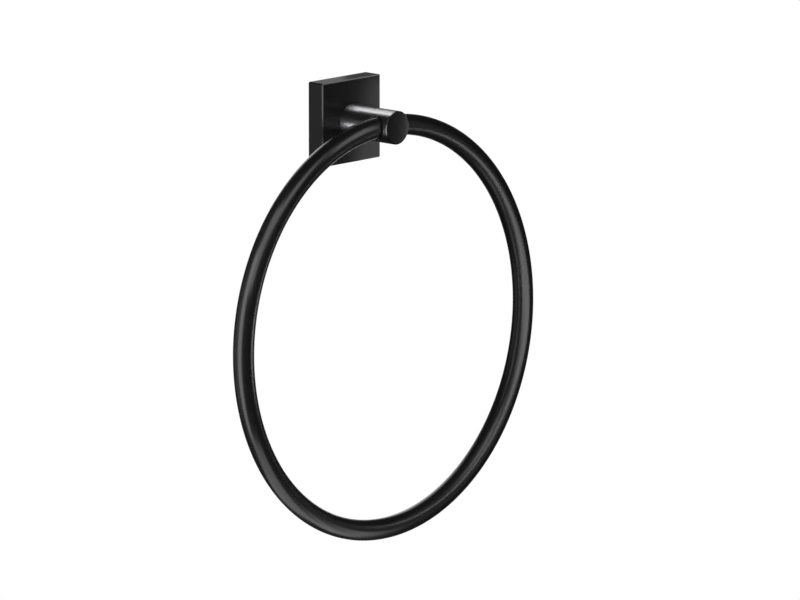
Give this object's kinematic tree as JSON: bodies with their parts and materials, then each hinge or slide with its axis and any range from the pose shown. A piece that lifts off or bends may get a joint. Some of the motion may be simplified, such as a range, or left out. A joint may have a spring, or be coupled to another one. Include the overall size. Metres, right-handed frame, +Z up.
{
  "type": "towel ring",
  "caption": "Wall-mounted towel ring: a square cover plate on a hidden dovetail bracket, a round post and a round bar ring that swings in the post.",
  "frame": {"origin": "on the wall plane, behind the middle of the square cover plate", "axes": "+Y into the wall, so the object stands out towards -Y; +X to the right along the wall; +Z up"},
  "size_m": [0.204, 0.039, 0.2188],
  "materials": {
    "plate_coat": "fine matte black powder coat",
    "post_coat": "satin black coat on a turned bar",
    "ring_coat": "matte black powder coat",
    "fastener_steel": "plain stainless steel",
    "bracket_metal": "dull cast metal"
  },
  "bodies": {
    "wall_mount": {"cover_plate": "plate_coat", "post": "post_coat", "post_screw": "fastener_steel", "post_washer": "fastener_steel", "wall_bracket": "bracket_metal", "grub_screw": "fastener_steel"},
    "swinging_ring": {"ring": "ring_coat"}
  },
  "joints": [
    {"name": "ring_swing", "type": "hinge", "parent": "wall_mount", "child": "swinging_ring", "pos_m": [0, -0.031, 0], "axis": [-1, 0, 0], "range_deg": [-7.5, 187.5]}
  ]
}
